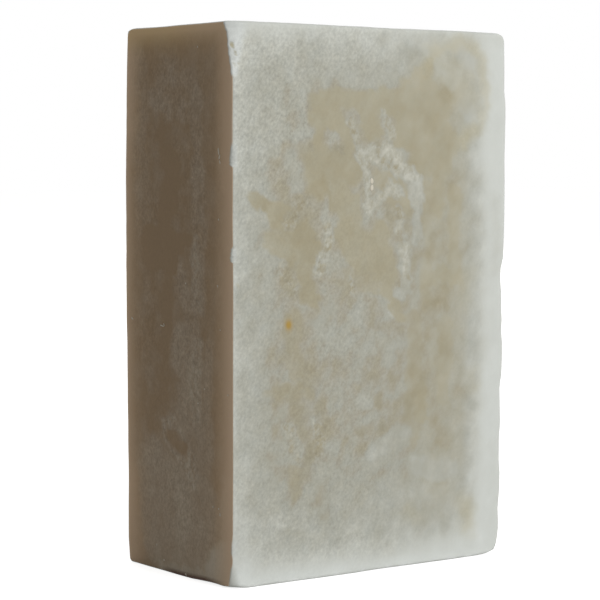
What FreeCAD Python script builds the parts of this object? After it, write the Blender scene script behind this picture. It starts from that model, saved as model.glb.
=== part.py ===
import FreeCAD, Part
import Sketcher
import math
import os

# A hand-cut bar of natural soap, standing on one end. It is one solid piece.
# +Z runs up the bar. The large cut face looks along -Y, the narrow side along -X, and the
# trimmed side along +X. The origin is the middle of the foot. Lengths are in millimetres.

DRIVING_SIZES = [
    ("bar_length", 80.0, "foot to top"),
    ("bar_width", 51.6, "narrow side to trimmed side, at the widest"),
    ("bar_thickness", 28.0, "large face to back"),
    ("top_inset", 0.3, "trimmed side at the top, in from the widest"),
    ("waist_inset", 0.7, "trimmed side just under its step, in from the widest"),
    ("foot_inset", 0.95, "trimmed side at the foot, in from the widest"),
    ("step_drop", 35.0, "top of the bar down to the middle of the step"),
    ("step_run", 2.6, "height that the step takes to run out"),
    ("step_blend", 3.0, "radius above and below the step"),
    ("trimmed_corner_radius", 1.7, "top and foot corners of the trimmed side"),
    ("back_edge_radius", 1.1, "edges round the back, up to the narrow side"),
    ("front_edge_radius", 0.7, "edges round the large face, up to the narrow side"),
    ("crisp_edge_radius", 0.4, "the four edges of the narrow side"),
    ("wear_angle", 58.0, "degrees from +X to the way that the wear went in"),
    ("corner_wear_depth", 1.6, "wear at the top of the near edge"),
    ("corner_wear_length", 8.0, "top of the bar down to where that wear runs out"),
    ("nick_depth", 0.55, "depth of the two nicks in the near edge"),
    ("nick_ramp", 0.6, "height that a nick takes to run out at each end"),
    ("upper_nick_drop", 18.6, "top of the bar down to the middle of the upper nick"),
    ("upper_nick_length", 3.0, "length of the upper nick"),
    ("lower_nick_drop", 32.6, "top of the bar down to the middle of the lower nick"),
    ("lower_nick_length", 2.2, "length of the lower nick"),
]

IN_PLANE = 1e-4  # an edge this close to a plane lies in it
WEAR_CLEARANCE = 1.0  # how far the profile of the wear stands clear of the bar


def make_sheet(doc):
    """The spreadsheet of driving sizes, each with an alias."""
    sheet = doc.addObject("Spreadsheet::Sheet", "sizes")
    for row, (alias, value, meaning) in enumerate(DRIVING_SIZES, start=1):
        sheet.set(f"A{row}", alias)
        sheet.set(f"B{row}", str(value))
        sheet.set(f"C{row}", meaning)
        sheet.setAlias(f"B{row}", alias)
    doc.recompute()


def add_sketch(body, name, role):
    """A sketch on one of the body's origin planes."""
    sketch = body.newObject("Sketcher::SketchObject", name)
    plane = next(f for f in body.Origin.OriginFeatures if f.Role == role)
    sketch.AttachmentSupport = [(plane, "")]
    sketch.MapMode = "FlatFace"
    return sketch


def add_polygon(sketch, corners):
    """Straight lines round the corners, each corner a pair of formulas over the sizes."""
    first = sketch.GeometryCount
    turn = 2 * math.pi / len(corners)
    # The lines start on a circle. The bound places then take each corner where it belongs.
    start = [FreeCAD.Vector(math.cos(n * turn), math.sin(n * turn), 0) for n in range(len(corners))]
    for here, there in zip(start, start[1:] + start[:1]):
        sketch.addGeometry(Part.LineSegment(here, there))
    for n, formulas in enumerate(corners):
        line = first + n
        following = first + (n + 1) % len(corners)
        sketch.addConstraint(Sketcher.Constraint("Coincident", line, 2, following, 1))
        for kind, place, formula in zip(("DistanceX", "DistanceY"), start[n], formulas):
            bound = sketch.addConstraint(Sketcher.Constraint(kind, -1, 1, line, 1, place))
            sketch.setExpression(f"Constraints[{bound}]", formula)


def pad_slab(body):
    """The slab as it was cut, with the step in its trimmed side."""
    outline = add_sketch(body, "face_outline", "XZ_Plane")
    narrow = "-sizes.bar_width / 2"
    widest = "sizes.bar_width / 2"
    step = "sizes.bar_length - sizes.step_drop"
    add_polygon(outline, [
        (narrow, "0"),
        (f"{widest} - sizes.foot_inset", "0"),
        (f"{widest} - sizes.waist_inset", f"{step} - sizes.step_run / 2"),
        (widest, f"{step} + sizes.step_run / 2"),
        (f"{widest} - sizes.top_inset", "sizes.bar_length"),
        (narrow, "sizes.bar_length"),
    ])
    slab = body.newObject("PartDesign::Pad", "slab")
    slab.Profile = outline
    slab.Midplane = True
    slab.setExpression("Length", "sizes.bar_thickness")
    body.Document.recompute()


def round_edges(body, name, radius, chosen):
    """Round the edges that the test picks by their box, on the body as it stands."""
    base = body.Tip
    edges = [f"Edge{n}" for n, edge in enumerate(base.Shape.Edges, start=1) if chosen(edge.BoundBox)]
    if not edges:
        raise RuntimeError(f"{name} found no edge to round")
    rounding = body.newObject("PartDesign::Fillet", name)
    rounding.Base = (base, edges)
    rounding.setExpression("Radius", f"sizes.{radius}")
    body.Document.recompute()


def round_all_edges(body):
    """The trimmed side first, then the rims of the two large faces, and the crisp edges last."""
    slab = body.Tip.Shape.BoundBox

    def crosses_trimmed_side(box):
        return box.XMin > 0 and box.YLength > slab.YLength - IN_PLANE

    def at_an_end(box):
        return box.ZMax < slab.ZMin + IN_PLANE or box.ZMin > slab.ZMax - IN_PLANE

    def on_narrow_side(box):
        return box.XMax < slab.XMin + IN_PLANE

    round_edges(body, "step_blends", "step_blend",
                lambda box: crosses_trimmed_side(box) and not at_an_end(box))
    round_edges(body, "trimmed_corners", "trimmed_corner_radius",
                lambda box: crosses_trimmed_side(box) and at_an_end(box))
    round_edges(body, "back_rim", "back_edge_radius",
                lambda box: box.YMin > slab.YMax - IN_PLANE and not on_narrow_side(box))
    round_edges(body, "front_rim", "front_edge_radius",
                lambda box: box.YMax < slab.YMin + IN_PLANE and not on_narrow_side(box))
    round_edges(body, "narrow_side_rim", "crisp_edge_radius", on_narrow_side)


def nick_profile(drop, length):
    """A shallow cut into the near edge, which runs out at both ends."""
    top = f"sizes.bar_length - sizes.{drop} + sizes.{length} / 2"
    bottom = f"sizes.bar_length - sizes.{drop} - sizes.{length} / 2"
    return [
        (f"-{WEAR_CLEARANCE}", bottom),
        ("0", bottom),
        ("sizes.nick_depth", f"{bottom} + sizes.nick_ramp"),
        ("sizes.nick_depth", f"{top} - sizes.nick_ramp"),
        ("0", top),
        (f"-{WEAR_CLEARANCE}", top),
    ]


def corner_wear_profile():
    """A facet that starts down the near edge and is deepest at the top of the bar."""
    above = f"sizes.bar_length + {WEAR_CLEARANCE}"
    start = "sizes.bar_length - sizes.corner_wear_length"
    return [
        (f"-{WEAR_CLEARANCE}", start),
        ("0", start),
        ("sizes.corner_wear_depth", "sizes.bar_length"),
        ("sizes.corner_wear_depth", above),
        (f"-{WEAR_CLEARANCE}", above),
    ]


def wear_near_edge(body):
    """Take the wear off the near edge, between the large face and the narrow side."""
    before = body.Tip.Shape.Volume
    wear = add_sketch(body, "near_edge_wear", "XZ_Plane")
    # The sketch stands in the near edge, turned about it so that its x runs into the bar.
    quarter_turn = FreeCAD.Rotation(FreeCAD.Vector(0, 1, 0), 90)
    wear.AttachmentOffset = FreeCAD.Placement(FreeCAD.Vector(), quarter_turn)
    wear.setExpression("AttachmentOffset.Base.x", "-sizes.bar_width / 2")
    wear.setExpression("AttachmentOffset.Base.z", "sizes.bar_thickness / 2")
    wear.setExpression("AttachmentOffset.Rotation.Angle", "sizes.wear_angle")
    add_polygon(wear, corner_wear_profile())
    add_polygon(wear, nick_profile("upper_nick_drop", "upper_nick_length"))
    add_polygon(wear, nick_profile("lower_nick_drop", "lower_nick_length"))
    cut = body.newObject("PartDesign::Pocket", "worn_facets")
    cut.Profile = wear
    cut.Type = "ThroughAll"
    cut.Midplane = True
    body.Document.recompute()
    if not body.Tip.Shape.Volume < before:
        raise RuntimeError("the wear took nothing off the near edge")


def check(doc, body):
    """Every object has to have built, and the bar has to be one sound solid."""
    failed = [obj.Name for obj in doc.Objects if {"Invalid", "Error"} & set(obj.State)]
    if failed:
        raise RuntimeError("did not build: " + ", ".join(failed))
    if body.Shape.isNull() or not body.Shape.isValid() or len(body.Shape.Solids) != 1:
        raise RuntimeError(f"{body.Label} is not one valid solid")


def main():
    doc = FreeCAD.newDocument("soap")
    make_sheet(doc)
    body = doc.addObject("PartDesign::Body", "soap_bar")
    body.Label = "soap_bar"
    body.Placement = FreeCAD.Placement()
    pad_slab(body)
    round_all_edges(body)
    wear_near_edge(body)
    check(doc, body)
    os.makedirs("parts", exist_ok=True)
    body.Shape.exportStep(f"parts/{body.Label}.step")
    print(f"{body.Label}: {body.Shape.Volume / 1000:.1f} cubic centimetres")


main()
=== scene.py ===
import math

import bpy
import numpy as np
from mathutils import Matrix, Quaternion, Vector, noise


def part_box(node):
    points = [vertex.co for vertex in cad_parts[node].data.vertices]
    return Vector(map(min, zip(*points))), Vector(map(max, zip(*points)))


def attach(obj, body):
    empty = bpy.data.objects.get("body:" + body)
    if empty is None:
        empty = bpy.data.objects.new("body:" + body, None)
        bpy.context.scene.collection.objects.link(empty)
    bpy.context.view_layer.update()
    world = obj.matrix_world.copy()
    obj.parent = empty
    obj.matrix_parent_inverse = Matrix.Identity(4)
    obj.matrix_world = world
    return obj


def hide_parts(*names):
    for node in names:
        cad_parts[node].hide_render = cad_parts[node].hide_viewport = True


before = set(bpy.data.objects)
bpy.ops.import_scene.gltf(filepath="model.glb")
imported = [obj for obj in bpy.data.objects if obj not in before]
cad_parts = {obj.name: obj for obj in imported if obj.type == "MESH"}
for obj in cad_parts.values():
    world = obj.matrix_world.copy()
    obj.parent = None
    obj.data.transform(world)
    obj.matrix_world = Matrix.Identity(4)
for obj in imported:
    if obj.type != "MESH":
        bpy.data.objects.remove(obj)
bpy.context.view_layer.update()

mm = 0.001
barLow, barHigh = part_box("soap_bar")
nearEdge = Vector((barLow.x, barLow.y, 0))  # where the large face meets the narrow side


def hexToLinear(code):
    # "#rrggbb" in sRGB to a linear colour
    parts = [int(code[i:i + 2], 16) / 255 for i in (1, 3, 5)]
    return [p / 12.92 if p <= 0.04045 else ((p + 0.055) / 1.055) ** 2.4 for p in parts] + [1.0]


def addNode(tree, kind, settings=None, links=None):
    # settings: values of the node or of its sockets; links: socket name to (node, output)
    node = tree.nodes.new(kind)
    for name, value in (settings or {}).items():
        if hasattr(node, str(name)):
            setattr(node, name, value)
        else:
            node.inputs[name].default_value = value
    for name, (source, output) in (links or {}).items():
        tree.links.new(source.outputs[output], node.inputs[name])
    return node


def applyModifier(piece, kind, settings):
    modifier = piece.modifiers.new(kind.lower(), kind)
    for key, value in settings.items():
        setattr(modifier, key, value)
    bpy.context.view_layer.objects.active = piece
    bpy.ops.object.modifier_apply(modifier=modifier.name)


def selectVertices(piece, test):
    # in edit mode: leaves selected only the vertices whose place passes the test
    bpy.ops.mesh.select_all(action="DESELECT")
    bpy.ops.object.mode_set(mode="OBJECT")
    for vertex in piece.data.vertices:
        vertex.select = test(vertex.co)
    bpy.ops.object.mode_set(mode="EDIT")


def fadeIn(low, high, values):
    # smooth 0 to 1 between low and high
    t = np.clip((values - low) / (high - low), 0, 1)
    return t * t * (3 - 2 * t)


print("camera")

# fitted to the bar's corners in the photo; lengths in mm
cameraSetup = {
    "azimuth": -36.97,      # degrees, 0 looks along +Y
    "elevation": 3.66,
    "roll": 0.165,
    "distance": 336.0,
    "aim": (25.5, 13.8, 40.0),  # the middle of the bar, from the foot of the near edge
    "shiftRight": -2.67,    # of the camera itself, along its own axes
    "shiftUp": -0.52,
    "focalLength": 132.58,  # on a 36 mm sensor
    "sensor": 36.0,
}


def makeCamera():
    azimuth, elevation, roll = (math.radians(cameraSetup[k]) for k in ("azimuth", "elevation", "roll"))
    back = Vector((math.sin(azimuth) * math.cos(elevation), -math.cos(azimuth) * math.cos(elevation),
                   math.sin(elevation)))
    right = Vector((math.cos(azimuth), math.sin(azimuth), 0))
    up = back.cross(right)
    place = nearEdge + mm * (Vector(cameraSetup["aim"]) + back * cameraSetup["distance"]
                             + right * cameraSetup["shiftRight"] + up * cameraSetup["shiftUp"])
    rolledRight = right * math.cos(roll) + up * math.sin(roll)
    rolledUp = up * math.cos(roll) - right * math.sin(roll)
    turn = Matrix((rolledRight, rolledUp, back)).transposed().to_4x4()
    lens = bpy.data.cameras.new("photo_camera")
    lens.lens = cameraSetup["focalLength"]
    lens.sensor_width = cameraSetup["sensor"]
    lens.clip_start = 0.01
    lens.clip_end = 20
    camera = bpy.data.objects.new("photo_camera", lens)
    bpy.context.scene.collection.objects.link(camera)
    camera.matrix_world = Matrix.Translation(place) @ turn
    bpy.context.scene.camera = camera


makeCamera()

print("slab")

# all in mm; heights are above the foot
slab = {
    # edge radii by the two sides that meet
    "radii": {
        ("front", "left"): 0.2, ("front", "right"): 1.0, ("front", "top"): 0.6, ("front", "foot"): 0.5,
        ("back", "left"): 0.6, ("back", "right"): 1.1, ("back", "top"): 2.3, ("back", "foot"): 1.0,
        ("left", "top"): 0.4, ("left", "foot"): 0.35, ("right", "top"): 2.0, ("right", "foot"): 3.2,
    },
    # the trimmed side: height, and how far in from the widest
    "trim": [(0, 1.4), (3.7, 0.9), (5.2, 0.88), (7.0, 0.97), (8.4, 0.83), (10.3, 0.62), (12.6, 0.58),
             (14.5, 0.77), (17.5, 0.75), (20.3, 0.56), (23.0, 0.64), (25.6, 0.72), (26.7, 0.58), (27.9, 0.36),
             (30.6, 0.25), (32.6, 0.28), (34.6, 0.51), (36.2, 0.44), (38.2, 0.55), (40.6, 0.56), (42.6, 0.75),
             (44.2, 0.66), (45.2, 0.33), (46.1, 0.10), (49.5, 0.04), (52.8, 0.0), (55.6, 0.01), (60.8, 0.15),
             (64.5, 0.07), (67.6, 0.0), (69.6, 0.08), (71.2, 0.32), (75.0, 0.31), (80, 0.36)],
    # behind its front edge the ridges slant, and settle to this plainer line
    "trimSlant": 0.25,
    "trimBehind": [(0, 1.2), (5, 0.9), (34, 0.5), (42, 0.4), (47, 0.1), (80, 0.25)],
    # the back edge of the narrow side: height, and how far it lies inwards
    "bow": [(0, 0.48), (3.7, 0.25), (20, 0.19), (32, 0.04), (50, -0.16), (62, -0.1), (72, 0.05), (80, 0.3)],
    "grow": (0.03, 0.0),  # trimmed side and back, out from the box of the solid
    "bevelSegments": 5,
    "spacing": 0.48,  # of the even mesh
    "crown": 0.15,    # the top edges stand a little proud of the solid
    "drop": 20.0,     # the height over which that crown fades in
}
# wear, in mm
wear = {
    # the near edge: height, reach across the narrow side, reach across the large face
    "nearEdge": [(0, 1.3, 1.6), (0.5, 0.85, 1.4), (1.5, 0.55, 1.2), (2.9, 0.28, 1.0), (4.1, 0, 1.0),
                 (5.2, 0.26, 1.0), (6.6, 0.22, 1.0), (8, -0.06, 1.0), (14, -0.12, 1.0), (30, -0.06, 1.0),
                 (42, -0.1, 1.0), (46.3, -0.02, 1.0), (46.42, 0.5, 1.0), (46.7, 0.42, 1.0), (47.0, 0.62, 1.0),
                 (47.35, 0.36, 1.0), (47.6, 0.5, 1.0), (47.9, 0.28, 1.0), (48.2, 0.36, 1.0), (48.6, 0.0, 1.0),
                 (52, 0.1, 1.0), (55, 0.06, 1.0), (59.8, 0.04, 1.0), (59.95, 0.5, 1.0), (60.1, 0.78, 1.0),
                 (60.3, 0.36, 1.0), (60.5, 0.62, 1.0), (60.9, 0.6, 1.0), (61.3, 0.5, 1.0), (61.8, 0.42, 1.0),
                 (62.4, 0.3, 1.0), (63.2, 0.16, 1.0), (66, 0.16, 1.0), (70, 0.12, 1.0), (72.2, 0.14, 1.0),
                 (73.0, 0.34, 1.2), (73.6, 0.3, 1.3), (74.4, 0.66, 1.5), (75.0, 0.7, 1.8), (75.5, 0.98, 2.0),
                 (76.2, 0.96, 2.2), (76.7, 1.2, 2.4), (77.4, 1.12, 2.6), (78.1, 1.3, 2.8), (78.6, 1.34, 2.9),
                 (79.0, 1.75, 3.0), (79.4, 1.85, 3.1), (80, 2.35, 3.2)],
    "depth": 2.6,   # how far from the large face the narrow side still gives way
    # corners of the foot, worn away: x and y from the near edge, height lost, reach
    "footCorners": [(0, 0, 0.28, 3.2), (0, 5.5, 0.26, 7.0), (51.2, 0, 0.4, 6.0)],
    "footDepth": 5.0,
    # closer mesh for the wear: low and high corner from the foot of the near edge, spacing
    "fineMesh": [((-1, -1, 71.5), (3.4, 2.8, 81), 0.17), ((-1, -1, 58.6), (1.6, 1.6, 63.6), 0.17),
                 ((-1, -1, 45.6), (1.6, 1.6, 49.2), 0.17),
                 ((8.4, -1, 35.4), (11.4, 1, 38.6), 0.2)],
    # pits in the rubbed corner: x, height, radius, depth, how tan
    "pits": [(0.32, 76.9, 0.18, 0.12, 0.8), (0.36, 76.5, 0.18, 0.12, 0.7), (0.66, 75.8, 0.14, 0.1, 0.45),
             (0.74, 75.4, 0.14, 0.1, 0.4), (0.9, 74.15, 0.16, 0.2, 0.25), (0.34, 74.2, 0.16, 0.2, 0.2),
             (0.52, 73.8, 0.16, 0.2, 0.2), (2.4, 78.3, 0.22, 0.1, 0.0), (3.0, 77.1, 0.2, 0.1, 0.0),
             (1.1, 43.2, 0.2, 0.1, 0.5)],
}


def sidesOf(edge, vertices):
    # which sides of the slab an edge lies on
    ends = [vertices[i].co for i in edge.vertices]
    sides = []
    for axis, low, high in ((1, "front", "back"), (0, "left", "right")):
        if all(co[axis] < 0 for co in ends):
            sides.append(low)
        if all(co[axis] > 0 for co in ends):
            sides.append(high)
    for height, name in ((barLow.z, "foot"), (barHigh.z, "top")):
        if all(abs(co.z - height) < 0.01 * mm for co in ends):
            sides.append(name)
    return tuple(sides)


def makeSlab():
    bpy.ops.object.select_all(action="DESELECT")
    bpy.ops.mesh.primitive_cube_add(size=1, location=(barLow + barHigh) / 2)
    piece = bpy.context.object
    piece.name = "cured_soap_bar"
    bpy.ops.transform.resize(value=barHigh - barLow)
    bpy.ops.object.transform_apply(location=True, rotation=True, scale=True)
    bpy.ops.object.mode_set(mode="EDIT")
    for height, inset in slab["trim"][1:-1]:
        bpy.ops.mesh.select_all(action="SELECT")
        bpy.ops.mesh.bisect(plane_co=(0, 0, height * mm), plane_no=(0, 0, 1))
    bowHeights, bowInsets = zip(*slab["bow"])
    selectVertices(piece, lambda co: co.x > 0)
    bpy.ops.transform.translate(value=(slab["grow"][0] * mm, 0, 0))
    selectVertices(piece, lambda co: co.y > 0)
    bpy.ops.transform.translate(value=(0, slab["grow"][1] * mm, 0))
    for height, inset in slab["trim"]:
        selectVertices(piece, lambda co: co.x > 0 and abs(co.z - height * mm) < 0.01 * mm)
        bpy.ops.transform.translate(value=(-inset * mm, 0, 0))
        selectVertices(piece, lambda co: co.x < 0 < co.y and abs(co.z - height * mm) < 0.01 * mm)
        bpy.ops.transform.translate(value=(np.interp(height, bowHeights, bowInsets) * mm, 0, 0))
    bpy.ops.object.mode_set(mode="OBJECT")
    largest = max(slab["radii"].values())
    weights = piece.data.attributes.new("bevel_weight_edge", "FLOAT", "EDGE")
    for edge in piece.data.edges:
        weights.data[edge.index].value = slab["radii"].get(sidesOf(edge, piece.data.vertices), 0) / largest
    applyModifier(piece, "BEVEL", {"width": largest * mm, "segments": slab["bevelSegments"],
                                   "limit_method": "WEIGHT", "use_clamp_overlap": False})
    return piece


def cutEvenly(piece, low, high, spacing):
    # cuts what lies in the box by even planes; the rest is hidden meanwhile
    bpy.ops.object.mode_set(mode="EDIT")
    selectVertices(piece, lambda co: all(low[k] <= co[k] <= high[k] for k in range(3)))
    bpy.ops.mesh.hide(unselected=True)
    for axis in range(3):
        normal = Vector([float(n == axis) for n in range(3)])
        count = round((high - low)[axis] / spacing)
        for n in range(1, count):
            bpy.ops.mesh.select_all(action="SELECT")
            bpy.ops.mesh.bisect(plane_co=low + (high - low) * n / count, plane_no=normal)
    bpy.ops.mesh.reveal()
    bpy.ops.object.mode_set(mode="OBJECT")


def cutMesh(piece):
    margin = Vector((1, 1, 1)) * mm
    cutEvenly(piece, barLow - margin, barHigh + margin, slab["spacing"] * mm)
    for low, high, spacing in wear["fineMesh"]:
        cutEvenly(piece, nearEdge + mm * Vector(low), nearEdge + mm * Vector(high), spacing * mm)
    bpy.ops.object.shade_smooth()


def readVertices(piece, name):
    # places or normals as rows of x, y, z
    values = np.empty(len(piece.data.vertices) * 3)
    piece.data.vertices.foreach_get(name, values)
    return values.reshape(-1, 3)


def wearDown(piece):
    # lengths in mm from the foot of the near edge
    places = (readVertices(piece, "co") - np.array(nearEdge)) / mm
    x, y, z = places.T
    trimHeights, trimInsets = zip(*slab["trim"])
    behindHeights, behindInsets = zip(*slab["trimBehind"])
    ridges = np.interp(z + slab["trimSlant"] * y, trimHeights, trimInsets)
    inset = 0.5 * (ridges + np.interp(z, behindHeights, behindInsets))
    x += (np.interp(z, trimHeights, trimInsets) - inset) * fadeIn(1.5, 7, y) * np.clip((x - 30) / 20, 0, 1)
    heights, across, along = zip(*wear["nearEdge"])
    reach, run = np.interp(z, heights, across), np.interp(z, heights, along)
    curve = np.clip(1 - x / run, 0, 1) ** 2
    y += reach * curve * np.clip(1 - y / wear["depth"], 0, 1)
    for pitX, pitZ, radius, depth, tan in wear["pits"]:
        distance = np.hypot(x - pitX, z - pitZ)
        y += depth * (1 - fadeIn(0.2 * radius, 1.5 * radius, distance)) * (y < 3)
    for cornerX, cornerY, lost, reach in wear["footCorners"]:
        near = 1 - fadeIn(0, reach, np.hypot(x - cornerX, y - cornerY))
        z += lost * near * np.clip(1 - z / wear["footDepth"], 0, 1)
    z += slab["crown"] * np.clip((z - (80 - slab["drop"])) / slab["drop"], 0, 1)
    piece.data.vertices.foreach_set("co", (np.stack([x, y, z], 1) * mm + np.array(nearEdge)).ravel())
    piece.data.update()


def roughen(piece):
    # the long waves that a hand-pulled wire and drying leave, then the skin
    for name, size, depth in (("drying waves", 12.0, 0.22), ("skin", 2.4, 0.035)):
        waves = bpy.data.textures.new(name, "CLOUDS")
        waves.noise_scale = size * mm
        applyModifier(piece, "DISPLACE", {"texture": waves, "texture_coords": "LOCAL", "strength": depth * mm,
                                          "mid_level": 0.5})
    bpy.ops.object.mode_set(mode="EDIT")
    selectVertices(piece, lambda co: co.z < 0)
    bpy.ops.transform.resize(value=(1, 1, 0), center_override=(0, 0, 0))
    bpy.ops.object.mode_set(mode="OBJECT")


# loose grains that have dried onto the skin: place from the foot of the near edge, length, width,
# height, and how far it is turned from upright in degrees; all in mm
crumbs = [
    (-1, 3.4, 61.9, 0.55, 0.14, 0.12, 12), (-1, 3.2, 61.1, 0.4, 0.12, 0.12, -25), (-1, 3.1, 60.4, 0.3, 0.1, 0.1, 20),
    (-1, 8.9, 76.8, 0.13, 0.12, 0.1, 0), (-1, 3.5, 52.3, 0.16, 0.1, 0.1, 0), (-1, 3.7, 42.9, 0.2, 0.1, 0.12, 15),
    (-1, 11.8, 42.9, 0.14, 0.1, 0.08, 0), (-1, 18.0, 36.4, 0.5, 0.1, 0.1, 80), (-1, 17.5, 36.6, 0.22, 0.1, 0.1, 30),
    (-1, 26.0, 37.0, 0.3, 0.14, 0.08, 60), (-1, 3.1, 36.7, 0.15, 0.1, 0.1, 0), (-1, 7.0, 28.0, 0.13, 0.12, 0.1, 0),
    (-1, 8.7, 25.8, 0.13, 0.12, 0.1, 0), (-1, 1.2, 27.6, 0.14, 0.1, 0.1, 0), (-1, 4.9, 11.3, 0.14, 0.11, 0.1, 0),
    (-1, 3.5, 11.2, 0.14, 0.11, 0.1, 0), (-1, 3.1, 10.4, 0.26, 0.12, 0.1, 10), (-1, 19.8, 3.7, 0.14, 0.12, 0.1, 0),
    (-1, 17.9, 1.6, 0.17, 0.15, 0.12, 0), (-1, 12.0, 0.4, 0.2, 0.14, 0.12, 60), (24.9, -1, 57.7, 0.44, 0.32, 0.06, 5),
    (24.9, -1, 56.7, 0.48, 0.3, 0.05, -10), 
]


def addCrumbs(piece):
    grains = []
    for x, y, z, length, width, height, turn in crumbs:
        found, spot, normal, face = piece.closest_point_on_mesh(nearEdge + mm * Vector((x, y, z)))
        bpy.ops.mesh.primitive_ico_sphere_add(subdivisions=2, radius=mm)
        grain = bpy.context.object
        grain.scale = (width, length, height)
        grain.rotation_euler = (normal.to_track_quat("Z", "Y") @ Quaternion((0, 0, 1), math.radians(turn))).to_euler()
        grain.location = spot
        bpy.ops.object.transform_apply(location=True, rotation=True, scale=True)
        bpy.ops.object.shade_smooth()
        marks = grain.data.attributes.new("crumb", "FLOAT", "POINT")
        for mark in marks.data:
            mark.value = 1.0
        grains.append(grain)
    for grain in grains:
        grain.select_set(True)
    piece.select_set(True)
    bpy.context.view_layer.objects.active = piece
    bpy.ops.object.join()


soapBar = makeSlab()
cutMesh(soapBar)
wearDown(soapBar)
roughen(soapBar)
addCrumbs(soapBar)
print("triangles", sum(len(p.vertices) - 2 for p in soapBar.data.polygons))

print("ash")

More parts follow.
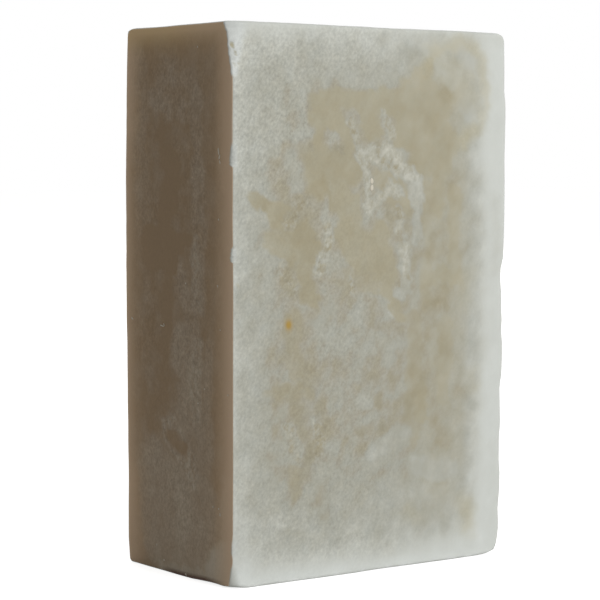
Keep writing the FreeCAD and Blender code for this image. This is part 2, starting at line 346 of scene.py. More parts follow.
# Soda ash lies on the bar in patches. A cover of 0 is bare soap and 1 is solid white ash.
# Each face has a margin profile for each of its sides (distance in mm, cover), and strokes:
# from, to, radius (mm), cover, strength of the fine grain, strength of the coarse mottle.
# Places are u, v in mm: u from the narrow side or from the front, v from the foot or from the front.
frontAsh = {
    "bed": (0.315, 0.95, 0.85),
    "calm": (20, 38),  # from where to where, in u, its grain dies down to soft patches
    "margins": {
        "low u": [(0, 0.57), (0.5, 0.49), (0.9, 0.39), (1.5, 0.36), (3, 0.29), (5, 0.2), (7, 0.14), (10, 0.08)],
        "high u": [(0, 0.97), (2, 0.92), (3.6, 0.87), (4.6, 0.74), (6, 0.48), (7.5, 0.36), (9, 0.25), (12, 0.1)],
        # near the foot the cover goes past solid ash: partly the white border, partly painted light lifting the shade
        # where the edge turns down to the floor
        "low v": [(0, 1.6), (0.3, 1.08), (0.8, 1.03), (1.4, 0.96), (2, 0.84), (3.5, 0.59), (5, 0.42), (7, 0.30), (11, 0.20), (16, 0.14),
                  (22, 0.1)],
        "high v": [(0, 0.77), (0.7, 0.66), (1.5, 0.57), (3, 0.35), (5, 0.23), (7, 0.18), (9, 0.1)],
    },
    "strokes": [
        # grainy grey-white over the upper left
        (4.5, 74, 4.5, 62, 4.5, 0.37, 1.25, 1), (9, 75, 9.5, 66, 3.6, 0.37, 1.25, 1),
        (11.5, 73.5, 12, 65, 1.6, 0.38, 1.2, 1), (15, 75.2, 30, 75.4, 2.2, 0.38, 1.1, 0.9),
        (4.5, 60, 4.5, 57, 3.2, 0.34, 1.2, 1), (11.4, 62, 12.2, 60.4, 1.0, 0.3, 0.5, 0.6),
        (1.2, 73, 1.2, 63, 1.0, 0.4, 1.25, 1), (5, 58, 9, 58.5, 2.2, 0.31, 1.2, 1),
        (19, 73, 26, 73, 1.2, 0.41, 0.8, 0.9), (10.5, 60.5, 11, 56, 1.4, 0.34, 0.9, 1),
        # clear soap across the top
        (15.5, 69.2, 24, 69.6, 2.0, 0.3, 0.2, 0.35), (24, 69, 31, 68.6, 2.3, 0.3, 0.15, 0.3),
        (31.5, 71.2, 35.5, 71.4, 1.9, 0.335, 0.12, 0.3), (33.5, 73.2, 34.2, 72.4, 1.0, 0.34, 0.12, 0.3),
        (33, 67.5, 38, 68.6, 2.8, 0.3, 0.12, 0.3), (32, 64.5, 37.5, 64.5, 3.3, 0.31, 0.12, 0.3),
        (34.5, 60.8, 38, 61.2, 2.6, 0.31, 0.12, 0.35), (39.6, 64.5, 40.6, 63.2, 1.2, 0.32, 0.12, 0.3),
        # clear soap down the left and its lobe
        (15.2, 68, 15.4, 61, 1.7, 0.29, 0.2, 0.3), (14.4, 61, 14.8, 57, 2.2, 0.275, 0.3, 0.35),
        (18, 59.6, 21, 59.2, 2.6, 0.275, 0.2, 0.32), (19, 55.5, 20.5, 53.5, 2.8, 0.3, 0.35, 0.36),
        (18, 66, 21, 65, 2.0, 0.315, 0.25, 0.32), (3.6, 55.2, 7.0, 53.8, 1.2, 0.1, 0.3, 0.4),
        (8, 53, 12.5, 50, 2.4, 0.255, 0.3, 0.32), (11, 48.4, 14.3, 47.4, 2.1, 0.235, 0.25, 0.3),
        (12.4, 45, 13.6, 41, 1.7, 0.255, 0.35, 0.4), (6.6, 49.6, 10, 47, 1.7, 0.27, 0.4, 0.4),
        (15.6, 58.4, 17.1, 54.4, 0.45, 0.24, 0.2, 0.3), (13.6, 37.4, 18.4, 39.4, 1.2, 0.33, 0.6, 0.7),
        (20.8, 64.4, 20.9, 60.6, 0.7, 0.30, 0.2, 0.3),
        # inside the arch
        (20.5, 50, 24, 46, 3.4, 0.295, 0.45, 0.38), (26.5, 50, 27.5, 44, 2.4, 0.285, 0.4, 0.34),
        (20.5, 43.6, 24.5, 42.4, 1.8, 0.3, 0.6, 0.5),
        # granular arch
        (23.8, 66.8, 25.2, 64.6, 1.4, 0.3, 0.2, 0.35), (27.0, 58.4, 30.6, 55.0, 2.4, 0.31, 0.3, 0.5),
        (20.8, 66.6, 22.6, 63.8, 0.5, 0.36, 0.5, 2.2), (26.8, 67, 28.6, 64.2, 0.65, 0.39, 0.5, 2.3),
        (22.8, 62.0, 27.4, 61.6, 1.15, 0.51, 0.5, 2.5), (28.2, 62.0, 30.4, 60.6, 1.0, 0.5, 0.5, 2.5),
        (30.6, 59.6, 33.2, 58.2, 1.1, 0.47, 0.4, 2.2), (33.4, 57, 34.0, 54, 1.1, 0.5, 0.4, 1.5),
        (33.8, 52.6, 33.4, 49.6, 0.9, 0.46, 0.4, 1.6), (31.4, 47.6, 31.8, 43.6, 1.2, 0.45, 0.42, 2.0),
        (31.4, 42.2, 29, 39, 1.1, 0.5, 0.7, 1.5), (30.0, 53.8, 29.8, 50.4, 0.7, 0.41, 0.42, 2.1),
        (23.6, 60.2, 24.0, 58.0, 0.6, 0.49, 0.5, 2.5), (24.2, 57.0, 24.4, 53.2, 0.6, 0.49, 0.5, 2.5),
        (25.2, 54.0, 28.6, 57.0, 0.5, 0.43, 0.5, 2.4), (29.6, 56.4, 30.6, 56.0, 0.6, 0.42, 0.45, 2.3),
        (26.6, 60.2, 30.0, 58.8, 0.7, 0.38, 0.5, 2.0),
        (16.6, 51.6, 17.0, 49.4, 0.6, 0.4, 1.0, 2.2), (15.2, 44.6, 16.8, 48.8, 0.8, 0.4, 1.0, 2.2),
        (16.8, 63.8, 18.2, 63.4, 1.0, 0.36, 0.9, 1.3), (21.4, 43.2, 21.8, 41.8, 0.6, 0.38, 0.9, 2.0),
        (9.6, 51.4, 12.0, 54.6, 1.0, 0.3, 1.0, 1.8), (8.4, 44.6, 10.4, 42.2, 1.4, 0.3, 1.0, 1.6),
        # clear stripes down the right
        (35.6, 57, 35.4, 40, 0.9, 0.325, 0.25, 0.7), (37.8, 58, 37.4, 53, 1.2, 0.325, 0.25, 0.6),
        (37.6, 51, 37.4, 44.5, 0.9, 0.37, 0.4, 0.8), (40, 43.6, 35, 42.8, 1.2, 0.3, 0.25, 0.6),
        (40.8, 56, 41.4, 43, 1.4, 0.29, 0.2, 0.6), (33, 37, 33, 19, 1.3, 0.3, 0.25, 0.7),
        (35, 26.4, 34.6, 22.6, 0.9, 0.3, 0.25, 0.4), (39, 36, 39, 25, 1.5, 0.315, 0.25, 0.7),
        (30.8, 37.4, 27, 42, 0.9, 0.315, 0.4, 0.4), (36.6, 31, 37, 35, 0.8, 0.39, 0.35, 0.8),
        # lower half: denser mottle with clear spots
        (23, 38, 24, 33.5, 2.2, 0.405, 0.9, 1), (17, 34, 21, 33, 2.2, 0.365, 1.0, 1),
        (27.5, 34, 29, 30, 1.5, 0.375, 0.8, 0.9), (10.4, 38, 10.8, 30, 1.7, 0.265, 0.6, 0.5),
        (6.4, 27.6, 13, 27, 1.4, 0.265, 0.6, 0.5), (8.4, 24.6, 14, 24.6, 1.7, 0.262, 0.75, 0.7),
        (8, 22.2, 9.4, 21.4, 1.0, 0.27, 0.6, 0.6), (12.7, 22.6, 12.8, 16, 1.3, 0.255, 0.7, 0.7),
        (9.6, 23, 11.6, 17.6, 1.0, 0.33, 1.1, 1.9), (15, 23.4, 15.6, 18, 0.9, 0.33, 1.1, 1.8),
        (7.0, 18.4, 8, 15, 1.1, 0.28, 0.7, 0.7), (10.8, 16.4, 10.2, 12.6, 1.2, 0.265, 0.6, 0.5),
        (15.4, 13.6, 16.2, 9.2, 1.0, 0.265, 0.6, 0.6), (12.4, 7.2, 13, 8.6, 0.7, 0.3, 0.7, 0.8),
        (5.4, 9, 12, 9.4, 1.2, 0.41, 1.1, 1.3), (9, 6.8, 16, 6.6, 0.5, 0.3, 0.9, 1.2),
        (26.6, 26.4, 26.7, 24.2, 0.6, 0.27, 0.6, 0.8), (22.6, 21.4, 24.6, 21.4, 0.7, 0.27, 0.6, 0.8),
        (18, 29, 22, 27.6, 1.0, 0.3, 0.9, 1), (15.4, 25, 19.4, 20, 1.2, 0.295, 0.9, 1),
        (23, 25.6, 24.8, 24.6, 0.8, 0.4, 0.9, 1.2), (17, 27, 17.2, 24, 0.6, 0.36, 1.0, 1.2),
        (15.6, 16.4, 17, 18.8, 0.7, 0.37, 1.0, 1.2), (10.8, 21.2, 11.4, 18.8, 0.5, 0.34, 1.0, 1.2),
        (26, 18, 31, 20, 1.8, 0.42, 0.7, 0.9), (34, 15, 40, 14, 2.0, 0.46, 0.35, 0.8),
        (35.6, 10.4, 38.6, 11.2, 0.6, 0.4, 0.3, 0.6), (21, 6.6, 24, 6.4, 0.5, 0.35, 0.8, 1),
        (17, 6.4, 34, 6.8, 0.45, 0.4, 0.8, 1),
                # denser upper right, under the tan patch
        (42.6, 76, 44.6, 74, 1.6, 0.40, 0.2, 0.6), (38, 75.4, 41, 72.4, 1.9, 0.46, 0.2, 0.7),
        (35, 77, 42, 78, 0.9, 0.44, 0.2, 0.6),
        (42, 70.4, 43.6, 67.4, 1.4, 0.4, 0.2, 0.6),
    ],
    # soft additions: from, to, radius, how much more cover
    "touches": [(46.0, 4, 46.8, 20, 2.4, 0.14), (45.4, 4, 45.4, 11, 1.6, 0.1), (38, 3.4, 42, 3.2, 1.4, 0.14),
                (46, 22, 46.6, 27, 1.6, 0.1), (34, 51, 32, 48, 1.6, 0.1), (45, 68, 46, 66, 1.4, -0.08),
                (33, 60, 34, 56, 1.4, -0.09), (39, 61, 39.4, 58, 1.2, -0.06),
                (44.6, 64, 46.4, 60, 1.4, 0.08),
                (1.6, 2, 1.8, 10, 1.4, 0.13), (49.6, 44, 49.4, 54, 1.3, -0.13), (43.6, 77.6, 46, 73, 2.0, -0.1),
                (22, 0.6, 29, 3, 1.6, -0.08), (46.8, 72, 47, 62, 1.2, 0.06), (16, 79.6, 50, 79.6, 1.1, -0.11),
                (45.6, 52, 46, 44, 1.4, -0.08), (20, 15, 29, 13, 3.0, 0.05), (5.6, 36, 5, 31, 1.6, 0.05),
                (49.2, 30, 49, 20, 2.0, 0.05), (27, 9, 34, 9, 2.4, 0.05)],
    # warm tan, where the ash is stained: from, to, radius, strength
    "stains": [(35.2, 74.4, 36.6, 77, 1.2, 0.42), (37, 77.4, 42, 78.3, 1.1, 0.42), (42.4, 78.2, 45.6, 76.8, 1.1, 0.40),
               (46.3, 76, 46.8, 69.6, 0.9, 0.38), (46.8, 69.6, 46, 66.4, 0.8, 0.34), (45.4, 65.8, 43, 63.4, 0.9, 0.42),
               (38.4, 75.4, 44, 70.4, 3.2, 0.26), (43, 8.4, 44.2, 5.0, 2.0, 0.40), (32.6, 8, 33.6, 6.8, 0.9, 0.2),
               (44.4, 28, 44.8, 26, 1.4, 0.2), (43.4, 43, 43.6, 39, 1.2, 0.15)],
}
sideAsh = {
    "bed": (0.03, 0.5, 0.5),
    "margins": {},
    "strokes": [
        (16, 22, 23, 3, 5.0, 0.1, 0.7, 0.7), (7, 12, 12, 3, 3.4, 0.1, 0.7, 0.7),
        (3, 76, 5, 52, 2.6, 0.075, 0.9, 0.8), (10, 73, 18, 71, 3.6, 0.06, 0.9, 1.1),
        (7, 70, 16, 67.6, 1.8, 0.08, 0.9, 1.3), (6.6, 54.6, 9, 52, 1.8, 0.05, 0.8, 1.1),
        (18.6, 70, 19.2, 62, 1.5, 0.09, 0.9, 1.3), (19.4, 60, 20, 40, 2.0, 0.085, 1.0, 1.2),
        (18.8, 48.6, 19.4, 40, 1.2, 0.15, 1.0, 1.7), (13.4, 63, 17.4, 62, 1.1, 0.04, 0.7, 1.2),
        (14.4, 60, 16, 57.6, 0.9, 0.03, 0.7, 1.2), (14.6, 44, 18, 36, 2.0, 0.09, 1.0, 1.4),
        (15, 34, 18, 24, 3.0, 0.12, 1.0, 1.5), (18.6, 34, 18.8, 24, 1.3, 0.18, 1.0, 1.7),
        (6, 42, 7, 34, 1.4, 0.025, 0.7, 1.0), (3, 37.6, 6, 30, 1.6, 0.03, 0.7, 1.0),
        (11.6, 22, 17, 16.4, 2.2, 0.17, 1.0, 1.8), (12, 14, 17.6, 14.6, 1.9, 0.22, 1.0, 1.9),
        (8, 16, 20, 4, 5.0, 0.135, 0.9, 1.0), (5, 14, 7, 3, 2.6, 0.12, 0.8, 0.8),
        (15, 12, 16, 8, 2.6, 0.18, 1.0, 1.3), (21.6, 34, 21.8, 16, 1.3, 0.09, 0.9, 0.9),
        # bare soap
        (11, 64, 13.6, 58, 2.4, -0.02, 0.25, 0.3), (12.6, 57, 11, 52, 2.2, -0.02, 0.2, 0.3),
        (6, 49.4, 15.4, 48.6, 1.9, -0.04, 0.15, 0.25), (7, 46.4, 13, 45.6, 1.6, -0.04, 0.2, 0.3),
        (11, 43, 11, 36, 1.4, -0.035, 0.25, 0.3), (10.4, 36, 10.6, 28, 1.1, -0.015, 0.35, 0.4),
        (5.6, 25.6, 10.6, 24.6, 1.6, 0.01, 0.4, 0.45), (9.6, 30, 10.4, 26, 1.2, -0.005, 0.4, 0.4),
        (12.6, 20.6, 15.4, 19.0, 1.1, 0.01, 0.4, 0.45), (6.6, 22, 5.6, 26, 1.2, 0.01, 0.4, 0.5),
        # thicker towards the corner that meets the foot
        (9, 2.2, 24, 1.6, 1.6, 0.16, 0.6, 0.6), (10, 0.4, 26, 0.4, 1.1, 0.36, 0.6, 0.6),
        (23.6, 1.8, 26.4, 4.4, 2.8, 0.52, 0.4, 0.4), (26.4, 8, 26.8, 15, 1.4, 0.2, 0.5, 0.5),
    ],
    # here how dry the soap is, and how much painted glow of light through its edges
    "stains": [(1.4, 78, 1.8, 66, 2.0, 0.36), (1.2, 13, 2.4, 2, 2.6, 0.36), (25.8, 77, 26.4, 58, 1.4, 0.2)],
}
# pale rims round the narrow side, partly drier soap and partly painted glow of light coming through its thin edges:
# distance from that edge in mm, how pale
paleRimAndGlow = {
    "back": [(0, 1.0), (0.6, 0.85), (1.5, 0.52), (3, 0.2), (5, 0.05), (8, 0)],
    "near": [(0, 1.0), (0.5, 0.95), (1.2, 0.78), (2.7, 0.42), (4.7, 0.1), (7, 0.02), (9, 0)],
    "top": [(0, 1.0), (0.5, 0.98), (1.5, 0.52), (3, 0.16), (5, 0.04), (7, 0)],
    "foot": [(0, 0.1), (1, 0.06), (3, 0.02), (5, 0)],
}
# the same layout language for the faces that the photo hides
backAsh = {
    "bed": (0.36, 0.8, 0.9),
    "margins": {
        "low u": [(0, 0.7), (2, 0.56), (4, 0.45), (8, 0.34)],
        "high u": [(0, 0.95), (2, 0.86), (4, 0.62), (7, 0.42), (11, 0.33)],
        "low v": [(0, 0.95), (2, 0.8), (4, 0.6), (8, 0.42), (13, 0.34)],
        "high v": [(0, 0.9), (1.5, 0.72), (4, 0.5), (8, 0.36)],
    },
    "strokes": [
        (18, 62, 30, 60, 4.6, 0.28, 0.3, 0.4), (22, 54, 32, 50, 4.4, 0.285, 0.3, 0.45),
        (33, 44, 35, 38, 2.2, 0.29, 0.3, 0.5), (13, 53, 15, 47, 1.5, 0.31, 0.5, 0.7),
        (20, 57, 24, 58.4, 1.2, 0.42, 1.0, 1.6), (27, 55, 30, 50, 1.1, 0.44, 1.0, 1.7),
        (24, 43, 18, 37, 2.6, 0.4, 1.0, 1.1), (10, 27, 15, 21, 1.8, 0.3, 0.6, 0.7),
        (26, 34, 32, 26, 3.0, 0.38, 0.9, 1.0), (36, 27, 37, 21, 1.3, 0.31, 0.4, 0.6),
        (21, 16, 26, 14, 1.4, 0.31, 0.6, 0.8), (8, 68, 8, 74, 3.0, 0.47, 1.1, 1.0),
        (40, 70, 42, 62, 2.4, 0.52, 0.6, 0.9),
    ],
    "stains": [(8, 8, 12, 6, 2.0, 0.5), (41, 71, 43, 66, 1.8, 0.5)],
}
trimmedAsh = {
    "bed": (0.66, 0.6, 1.0),
    "margins": {
        "low u": [(0, 1.0), (2, 0.94), (5, 0.76), (8, 0.66)],
        "high u": [(0, 0.98), (2, 0.88), (5, 0.7), (8, 0.64)],
        "low v": [(0, 1.0), (3, 0.88), (7, 0.7)],
        "high v": [(0, 1.0), (3, 0.86), (7, 0.7)],
    },
    "strokes": [
        (12, 66, 17, 61, 2.6, 0.54, 0.6, 1.2), (15, 58, 11, 52, 3.0, 0.57, 0.6, 1.2),
        (9, 38, 12, 33, 2.6, 0.56, 0.6, 1.2), (14, 29, 11, 25, 2.2, 0.54, 0.6, 1.2),
        (16, 22, 18, 16, 2.4, 0.57, 0.6, 1.0), (9, 14, 12, 9, 2.0, 0.6, 0.6, 1.0),
        (4, 45, 24, 45, 0.8, 0.92, 0.5, 0.8), (18, 40, 19, 34, 1.3, 0.6, 0.8, 1.5),
    ],
    "stains": [(13, 62, 15, 56, 2.6, 0.22), (12, 34, 13, 28, 2.0, 0.22)],
}
endAsh = {
    "bed": (0.56, 0.8, 1.1),
    "margins": {
        "low u": [(0, 0.9), (2, 0.7), (5, 0.58)],
        "high u": [(0, 1.0), (3, 0.9), (7, 0.66), (11, 0.56)],
        "low v": [(0, 0.95), (2, 0.76), (5, 0.58)],
        "high v": [(0, 0.95), (2, 0.8), (5, 0.6)],
    },
    "strokes": [
        (10, 14, 22, 12, 3.4, 0.34, 0.5, 0.7), (24, 15, 34, 16, 2.8, 0.38, 0.5, 0.8),
        (16, 17, 21, 18, 1.2, 0.52, 1.0, 1.8), (28, 10, 33, 11, 1.4, 0.5, 1.0, 1.6),
        (38, 10, 40, 15, 1.6, 0.45, 0.6, 1.0),
    ],
    "stains": [(9, 15, 15, 12, 2.4, 0.4)],
}
warpSizes = [(5.0, 0.8), (1.6, 0.8), (0.7, 0.3)]  # mm: how large and how far the edges of the patches wander
patchSoftness, stainSoftness, touchSoftness = 0.4, 1.1, 1.4
# painted shade: a dark line along the foot of the narrow side, where the bar meets the floor: height, from the back,
# strength
footShadeLine = {"height": 0.55, "from": 9.0, "to": 13.0, "strength": 0.9}
# an amber fleck of oil in the large face: place, radius of the core and of its soft rim
fleck = {"place": (9.75, 37.2), "core": 0.46, "rim": 0.9}


def strokeWeight(u, v, stroke, softness):
    u0, v0, u1, v1, radius = stroke[:5]
    length = max((u1 - u0) ** 2 + (v1 - v0) ** 2, 1e-9)
    along = np.clip(((u - u0) * (u1 - u0) + (v - v0) * (v1 - v0)) / length, 0, 1)
    distance = np.hypot(u - u0 - along * (u1 - u0), v - v0 - along * (v1 - v0))
    return 1 - fadeIn(radius * (1 - softness), radius + softness, distance)


def layAsh(plan, u, v, steadyU, steadyV, size):
    # cover, fine grain, coarse mottle, stain and soft patches for points at u, v on a face of this
    # size; the steady places wander less and are for the margins
    bed, fine, coarse = (np.full(len(u), value) for value in plan["bed"])
    ways = {"low u": steadyU, "high u": size[0] - steadyU, "low v": steadyV, "high v": size[1] - steadyV}
    bare = np.ones(len(u))
    beyond = np.zeros(len(u))
    for way, profile in plan["margins"].items():
        distances, covers = zip(*profile)
        cover = np.interp(ways[way], distances, covers)
        extra = np.clip((cover - covers[-1]) / (1 - covers[-1]), 0, 1)
        bare *= 1 - extra
        beyond = np.maximum(beyond, cover - 1)
    cover = bed
    for stroke in plan["strokes"]:
        weight = strokeWeight(u, v, stroke, patchSoftness)
        cover += weight * (stroke[5] - cover)
        fine += weight * (stroke[6] - fine)
        coarse += weight * (stroke[7] - coarse)
    cover = 1 - (1 - cover) * bare + beyond
    for touch in plan.get("touches", []):
        cover += touch[5] * strokeWeight(u, v, touch, touchSoftness)
    smooth = fadeIn(0.62, 0.9, cover)
    calm = fadeIn(*plan["calm"], u) if "calm" in plan else np.zeros(len(u))
    stain = np.zeros(len(u))
    for stroke in plan["stains"]:
        stain = np.maximum(stain, stroke[5] * strokeWeight(u, v, stroke, stainSoftness))
    fine *= (1 - 0.75 * smooth) * (1 - 0.7 * calm)
    coarse *= (1 - 0.7 * smooth) * np.where(coarse < 1.3, 1 - 0.4 * calm, 1)
    patches = np.clip(coarse / 0.75, 0.4, 1) * (1 + 0.7 * calm) * (1 - 0.5 * smooth)
    return cover, fine, coarse, stain, patches


def paintAsh(piece):
    count = len(piece.data.vertices)
    places = readVertices(piece, "co") / mm
    normals = readVertices(piece, "normal")
    warped = places.copy()
    for size, depth in warpSizes:
        warped += depth * np.array([noise.noise_vector(Vector(p) / size) for p in places])
    low, high = np.array(barLow) / mm, np.array(barHigh) / mm
    steady = (places + 0.35 * (warped - places) - low).T
    warped = (warped - low).T
    width, thickness, height = high - low
    layers = {name: np.zeros(count) for name in ("ash", "fine", "coarse", "stain", "patches")}
    total = np.zeros(count)
    # the axis that a face looks along and its sign, its plan, and the axes of u and v
    faces = [(1, -1, frontAsh, 0, 2), (1, 1, backAsh, 0, 2), (0, 1, trimmedAsh, 1, 2), (2, 1, endAsh, 0, 1),
             (2, -1, endAsh, 0, 1), (0, -1, backAsh, 1, 2)]
    for axis, sign, plan, u, v in faces:
        share = np.clip(sign * normals[:, axis], 0, 1) ** 4
        laid = layAsh(plan, warped[u], warped[v], steady[u], steady[v], (high - low)[[u, v]])
        for name, values in zip(layers, laid):
            layers[name] += share * values
        total += share
    for name in layers:
        layers[name] /= total
    cover, fine, coarse, stain, patches = layAsh(sideAsh, thickness - warped[1], warped[2], thickness - steady[1],
                                                 steady[2], (thickness, height))  # u runs from the back
    layers["sideAsh"], layers["sideFine"], layers["sideCoarse"] = cover, fine, coarse
    px, py, pz = (places - low).T
    heights, across, along = zip(*wear["nearEdge"])
    reach, run = np.interp(pz, heights, across), np.interp(pz, heights, along)
    behind = py - reach * np.clip(1 - px / run, 0, 1) ** 2  # how far behind the worn skin
    rubbed = fadeIn(0.1, 0.3, reach) * (1 - fadeIn(0.08, 0.3, behind))
    layers["rubbed"] = rubbed
    rubbed = rubbed * (1 - fadeIn(0.4, 0.9, px / run))
    # high up the worn corner goes whiter than solid ash: partly rubbed ash, partly painted light lifting the shade
    # where the worn face turns away from the lamp
    layers["ash"] += rubbed * (np.where(pz > 65, 1.1, 0.86) - layers["ash"])
    for pitX, pitZ, radius, depth, tan in wear["pits"]:
        inPit = tan * (1 - fadeIn(0.6 * radius, 1.5 * radius, np.hypot(px - pitX, pz - pitZ))) * (py < 3)
        layers["ash"] += inPit * (0.3 - layers["ash"])
        layers["stain"] = np.maximum(layers["stain"], inPit)
    # painted glow: the rims of the narrow side are lightened as light coming through the thin edges would light them,
    # together with drier soap
    dryAndGlow = np.zeros(count)
    ways = {"back": thickness - py, "near": py, "top": height - pz, "foot": pz}
    for way, profile in paleRimAndGlow.items():
        distances, values = zip(*profile)
        dryAndGlow = 1 - (1 - dryAndGlow) * (1 - np.interp(ways[way], distances, values))
    layers["dryAndGlow"] = 1 - (1 - dryAndGlow) * (1 - stain)
    layers["yellowed"] = (1 - fadeIn(0.5, 5, height - pz)) * (1 - 0.7 * fadeIn(10, 23, thickness - py))
    above = pz.copy()  # height above the worn foot
    for cornerX, cornerY, lost, reach in wear["footCorners"]:
        above -= lost * (1 - fadeIn(0, reach, np.hypot(px - cornerX, py - cornerY)))
    # painted shade along the foot of the narrow side, where the bar meets the floor
    paintedFootShade = 1 - fadeIn(0.6 * footShadeLine["height"], footShadeLine["height"], above)
    paintedFootShade *= fadeIn(footShadeLine["from"], footShadeLine["to"], thickness - py) * fadeIn(0.5, 8, py) * (px < 1.5)
    layers["paintedFootShade"] = footShadeLine["strength"] * paintedFootShade
    fleckDistance = np.hypot(0.8 * (px - fleck["place"][0]), 0.6 * (pz - fleck["place"][1])) + 9 * (py > 3)
    layers["amber"] = 0.45 * (1 - fadeIn(0.3 * fleck["core"], 1.2 * fleck["core"], fleckDistance))
    layers["amber"] += 0.35 * (1 - fadeIn(0.2, fleck["rim"], fleckDistance))
    layers["bare"] = (1 - fadeIn(0.35, 0.65, layers["coarse"])) * (1 - fadeIn(0.38, 0.55, layers["ash"]))
    for coarse, lace in (("coarse", "lace"), ("sideCoarse", "sideLace")):
        layers[lace] = fadeIn(1.3, 2.1, layers[coarse])
        layers[coarse] = np.minimum(layers[coarse], 1.3)
    layers["bare"] += 0.45 * layers["lace"]
    for name, values in layers.items():
        piece.data.attributes.new(name, "FLOAT", "POINT").data.foreach_set("value", values)


paintAsh(soapBar)

print("soap")

soapLook = {
    # how white the film looks: cover, colour
    "film": [(0.0, "#938a75"), (0.2, "#9e9986"), (0.265, "#a39f8e"), (0.313, "#a6a396"), (0.36, "#a8a89d"),
             (0.49, "#b0b1a8"), (0.75, "#c4c6bf"), (1.0, "#d1d4cf"), (1.25, "#e4e7e4"),
             (1.6, "#f8faf8")],
    "bareFilm": [(0.0, "#958b72"), (0.2, "#9f9881"), (0.3, "#a7a28e"), (0.4, "#aeaa98"), (0.5, "#b3b0a0"),
                 (0.7, "#c0beb1"), (1.25, "#e2e6e2")],
    "sideFilm": [(0.0, "#957f64"), (0.1, "#9f8e79"), (0.3, "#ada18e"), (1.25, "#cdcec9")],
    # the colour of the rims: partly dry soap, partly painted glow of light through the thin edges
    "dryEdgeGlow": "#d8bc9e",
    "ruddy": "#fff9ee",                     # laid over the soap where the dry rim and its painted glow begin
    "yellowed": "#fffeea",                  # laid over the top of the narrow side
    "stain": "#b7ae8e",
    "amber": "#ae8a2c",
    # the dark colour of the painted shade line at the foot
    "paintedFootShade": "#4a2a1a",
    "crumb": "#ccc6b6",
    "warm": "#fffaf2",                      # laid over the film here and there, so that its tone wanders
    # mottle by name: size in mm, octaves, strength
    "grains": {"fine": (0.40, 2.0, 0.62), "coarse": (1.1, 3.5, 0.36), "patchy": (3.2, 1.6, 0.44),
               "warm": (2.6, 3.0, 2.6), "lace": (0.9, 2.2, 1.0)},
    "laceFrom": -0.17, "laceTo": 0.17, "laceCover": 0.27,  # where its grains of ash begin, and how dense they are
    "stretch": (1.0, 1.0, 1.3), "lean": (0.2, 0.55, 0.3),  # the grains are drawn out, leaning, as the wire pulled
    "grainShade": 0.95, "sideGrainShade": 1.6, "coarseShade": 0.65,  # how much of the mottle only lightens and darkens
    "sidePatchy": 0.4,
    "sideFrom": 0.70, "sideTo": 0.80,       # how far a surface has to look along -X to be the narrow side
    "roughness": 0.62, "specular": 0.15,
    "bump": 0.12, "bumpDepth": 0.05,        # strength, mm
}


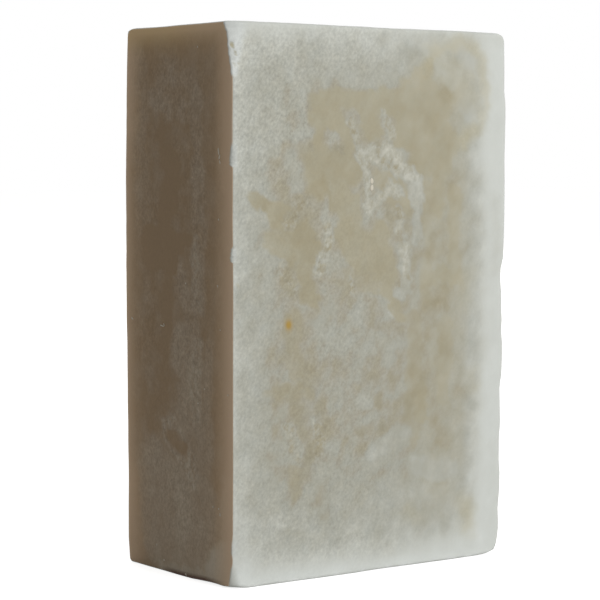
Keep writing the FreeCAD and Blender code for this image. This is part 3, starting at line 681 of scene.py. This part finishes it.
def makeSoap():
    # Cured olive-oil soap: dense, waxy and slightly see-through where it is bare, chalky where the ash has bloomed,
    # with only a dull sheen. The light that would spread through its thin edges is painted into the colour as a pale
    # glow.
    soap = bpy.data.materials.new("cured_olive_soap")
    soap.use_nodes = True
    tree = soap.node_tree
    skin = tree.nodes["Principled BSDF"]

    def read(name):
        return addNode(tree, "ShaderNodeAttribute", {"attribute_name": name})

    def compute(operation, first, second, third=None):
        # arithmetic on sockets, each a number or (node, output)
        node = tree.nodes.new("ShaderNodeMath")
        node.operation = operation
        for socket, value in enumerate((first, second, third)):
            if isinstance(value, tuple):
                tree.links.new(value[0].outputs[value[1]], node.inputs[socket])
            elif value is not None:
                node.inputs[socket].default_value = value
        return (node, 0)

    def filmColour(stops, factor):
        least, span = stops[0][0], stops[-1][0] - stops[0][0]
        ramp = addNode(tree, "ShaderNodeValToRGB", {}, {"Fac": compute("MULTIPLY_ADD", factor, 1 / span, -least / span)})
        while len(ramp.color_ramp.elements) < len(stops):
            ramp.color_ramp.elements.new(1.0)
        for element, (cover, colour) in zip(ramp.color_ramp.elements, stops):
            element.position = (cover - least) / span
            element.color = hexToLinear(colour)
        return (ramp, "Color")

    def mixColour(factor, first, second, blend="MIX"):
        node = addNode(tree, "ShaderNodeMix", {"data_type": "RGBA", "blend_type": blend}, {})
        tree.links.new(factor[0].outputs[factor[1]], node.inputs[0])
        for socket, value in ((6, first), (7, second)):
            if isinstance(value, tuple):
                tree.links.new(value[0].outputs[value[1]], node.inputs[socket])
            else:
                node.inputs[socket].default_value = hexToLinear(value)
        return (node, 2)

    place = addNode(tree, "ShaderNodeTexCoord")
    drawn = addNode(tree, "ShaderNodeMapping", {"vector_type": "TEXTURE", "Rotation": soapLook["lean"],
                                                "Scale": soapLook["stretch"]}, {"Vector": (place, "Object")})
    grains = {}
    for name, (size, octaves, strength) in soapLook["grains"].items():
        grain = addNode(tree, "ShaderNodeTexNoise", {"Scale": 1 / (size * mm), "Detail": octaves, "Roughness": 0.65},
                        {"Vector": (drawn, "Vector")})
        grains[name] = compute("MULTIPLY_ADD", (grain, "Fac"), strength, -strength / 2)

    covers, shades = [], []
    clumps = addNode(tree, "ShaderNodeMapRange", {"interpolation_type": "SMOOTHSTEP", "From Min": soapLook["laceFrom"],
                                                  "From Max": soapLook["laceTo"], "To Min": -soapLook["laceCover"] / 2,
                                                  "To Max": soapLook["laceCover"] / 2}, {"Value": grains["lace"]})
    faces = (("ash", "fine", "coarse", "lace", (read("patches"), "Fac"), soapLook["grainShade"]),
             ("sideAsh", "sideFine", "sideCoarse", "sideLace", soapLook["sidePatchy"], soapLook["sideGrainShade"]))
    for ash, fine, coarse, lace, patchy, grainShade in faces:
        mottle = compute("MULTIPLY", (read(coarse), "Fac"), grains["coarse"])
        cover = compute("MULTIPLY_ADD", grains["patchy"], patchy, (read(ash), "Fac"))
        cover = compute("MULTIPLY_ADD", (clumps, "Result"), (read(lace), "Fac"), cover)
        covers.append(compute("MULTIPLY_ADD", mottle, 1 - soapLook["coarseShade"], cover))
        shade = compute("MULTIPLY_ADD", mottle, soapLook["coarseShade"],
                        compute("MULTIPLY", (read(fine), "Fac"), grains["fine"]))
        shades.append(compute("MULTIPLY_ADD", shade, grainShade, 1.0))

    def shaded(colour, shade):
        return (addNode(tree, "ShaderNodeVectorMath", {"operation": "SCALE"}, {"Vector": colour, "Scale": shade}), 0)

    chalky = mixColour((read("bare"), "Fac"), filmColour(soapLook["film"], covers[0]),
                       filmColour(soapLook["bareFilm"], covers[0]))
    chalky = mixColour((read("stain"), "Fac"), chalky, soapLook["stain"])
    thin = compute("SUBTRACT", 1.0, (read("ash"), "Fac"))
    chalky = mixColour(compute("MULTIPLY", compute("ADD", grains["warm"], 0.5), thin), chalky, soapLook["warm"],
                       "MULTIPLY")
    chalky = shaded(chalky, shades[0])
    chalky = mixColour((read("amber"), "Fac"), chalky, soapLook["amber"])
    bare = filmColour(soapLook["sideFilm"], covers[1])
    dryAndGlow = (read("dryAndGlow"), "Fac")
    beginning = compute("MULTIPLY", compute("MULTIPLY", dryAndGlow, compute("SUBTRACT", 1.0, dryAndGlow)), 4.0)
    # painted glow of light through the thin edges, with drier soap, laid over the narrow side
    bare = mixColour(beginning, shaded(bare, shades[1]), soapLook["ruddy"], "MULTIPLY")
    bare = mixColour(dryAndGlow, bare, soapLook["dryEdgeGlow"])
    bare = mixColour((read("yellowed"), "Fac"), bare, soapLook["yellowed"], "MULTIPLY")
    facing = addNode(tree, "ShaderNodeSeparateXYZ", {}, {"Vector": (place, "Normal")})
    edge = compute("MULTIPLY_ADD", (facing, "X"), -1.0, 0.0)
    onSide = addNode(tree, "ShaderNodeMapRange", {"interpolation_type": "SMOOTHSTEP", "From Min": soapLook["sideFrom"],
                                                  "From Max": soapLook["sideTo"]}, {"Value": edge})
    unworn = compute("SUBTRACT", 1.0, (read("rubbed"), "Fac"))
    colour = mixColour(compute("MULTIPLY", (onSide, "Result"), unworn), chalky, bare)
    # painted shade line at the foot of the narrow side
    colour = mixColour((read("paintedFootShade"), "Fac"), colour, soapLook["paintedFootShade"])
    colour = mixColour((read("crumb"), "Fac"), colour, soapLook["crumb"])
    tree.links.new(colour[0].outputs[colour[1]], skin.inputs["Base Color"])
    skin.inputs["Roughness"].default_value = soapLook["roughness"]
    skin.inputs["Specular IOR Level"].default_value = soapLook["specular"]
    bump = addNode(tree, "ShaderNodeBump", {"Strength": soapLook["bump"], "Distance": soapLook["bumpDepth"] * mm},
                   {"Height": compute("MULTIPLY", (read("fine"), "Fac"), grains["fine"])})
    tree.links.new(bump.outputs["Normal"], skin.inputs["Normal"])
    return soap


soapBar.data.materials.append(makeSoap())

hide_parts("soap_bar")
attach(soapBar, "root")

print("studio")

studio = {
    "floorSize": 6.0,      # metres
    "ambient": 0.278,
    "key": {"place": (0.16, -0.88, 0.45), "size": 0.36, "power": 6.5},
    "back": {"place": (0.5, 0.9, 0.5), "size": 0.8, "power": 5.0},
}


def addLamp(name, values):
    target = Vector((0, 0, (barLow.z + barHigh.z) / 2))
    lamp = bpy.data.lights.new(name, "AREA")
    lamp.shape = "SQUARE"
    lamp.size = values["size"]
    lamp.energy = values["power"]
    holder = bpy.data.objects.new(name, lamp)
    bpy.context.scene.collection.objects.link(holder)
    holder.location = values["place"]
    holder.rotation_euler = (target - holder.location).to_track_quat("-Z", "Y").to_euler()


def makeStudio():
    bpy.ops.object.select_all(action="DESELECT")
    bpy.ops.mesh.primitive_plane_add(size=studio["floorSize"])
    floor = bpy.context.object
    floor.name = "floor"
    paint = bpy.data.materials.new("floor_paint")
    paint.use_nodes = True
    tree = paint.node_tree
    tree.nodes.clear()
    rays = addNode(tree, "ShaderNodeLightPath")
    sawIt = addNode(tree, "ShaderNodeMath", {"operation": "MAXIMUM"},
                    {0: (rays, "Is Camera Ray"), 1: (rays, "Is Glossy Ray")})
    sawIt = addNode(tree, "ShaderNodeMath", {"operation": "MAXIMUM"},
                    {0: (sawIt, 0), 1: (rays, "Is Transmission Ray")})
    matte = addNode(tree, "ShaderNodeBsdfDiffuse", {"Color": hexToLinear("#c8c8c6")})
    shown = addNode(tree, "ShaderNodeBsdfDiffuse", {"Color": hexToLinear("#c8c8c6")})
    glow = addNode(tree, "ShaderNodeEmission", {"Strength": 0.84})
    seen = addNode(tree, "ShaderNodeAddShader", {}, {0: (shown, 0), 1: (glow, 0)})
    both = addNode(tree, "ShaderNodeMixShader", {}, {0: (sawIt, 0), 1: (matte, 0), 2: (seen, 0)})
    addNode(tree, "ShaderNodeOutputMaterial", {}, {"Surface": (both, 0)})
    floor.data.materials.append(paint)

    world = bpy.data.worlds.new("studio")
    bpy.context.scene.world = world
    world.use_nodes = True
    tree = world.node_tree
    tree.nodes.clear()
    rays = addNode(tree, "ShaderNodeLightPath")
    sawIt = addNode(tree, "ShaderNodeMath", {"operation": "MAXIMUM"},
                    {0: (rays, "Is Camera Ray"), 1: (rays, "Is Glossy Ray")})
    sawIt = addNode(tree, "ShaderNodeMath", {"operation": "MAXIMUM"},
                    {0: (sawIt, 0), 1: (rays, "Is Transmission Ray")})
    dim = addNode(tree, "ShaderNodeBackground", {"Strength": studio["ambient"]})
    white = addNode(tree, "ShaderNodeBackground", {"Color": (1, 1, 1, 1), "Strength": 1.0})
    both = addNode(tree, "ShaderNodeMixShader", {}, {0: (sawIt, 0), 1: (dim, 0), 2: (white, 0)})
    addNode(tree, "ShaderNodeOutputWorld", {}, {"Surface": (both, 0)})
    dim.inputs["Color"].default_value = (1, 1, 1, 1)

    addLamp("key", studio["key"])
    addLamp("back", studio["back"])


makeStudio()
bpy.context.scene.view_settings.view_transform = "Standard"
